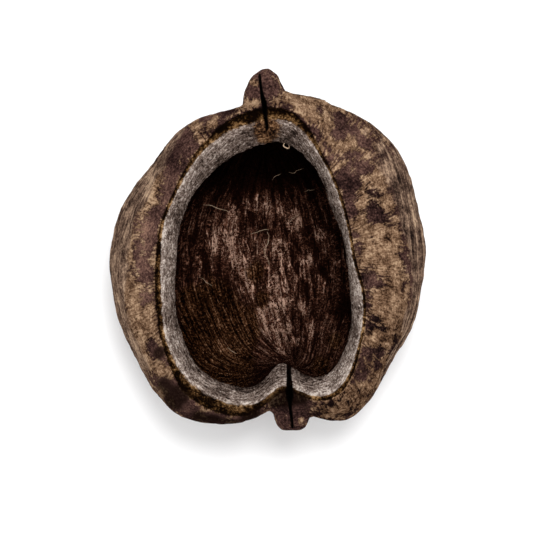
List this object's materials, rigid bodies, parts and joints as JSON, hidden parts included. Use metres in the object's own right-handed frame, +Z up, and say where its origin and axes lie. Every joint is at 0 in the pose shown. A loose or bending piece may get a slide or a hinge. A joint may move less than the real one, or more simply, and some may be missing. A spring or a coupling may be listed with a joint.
{
  "type": "sterculia pod",
  "caption": "Dry woody sterculia seed pod, split open along its seam into a deep bowl with a thick pale rim, a beak, a stub of stalk and a folded lining.",
  "frame": {"origin": "under the middle of the pod's bounding box, on the surface it rests on", "axes": "+Z up out of the open mouth, +Y along the pod towards the beak, +X to the right when the beak points away"},
  "size_m": [0.085, 0.0958, 0.057],
  "materials": {
    "rind": "dry mottled woody rind, dark purple-brown with tan fibrous patches; the rim is pale grey and the lining dark red-brown"
  },
  "bodies": {
    "root": {"pod": "rind"}
  },
  "joints": []
}
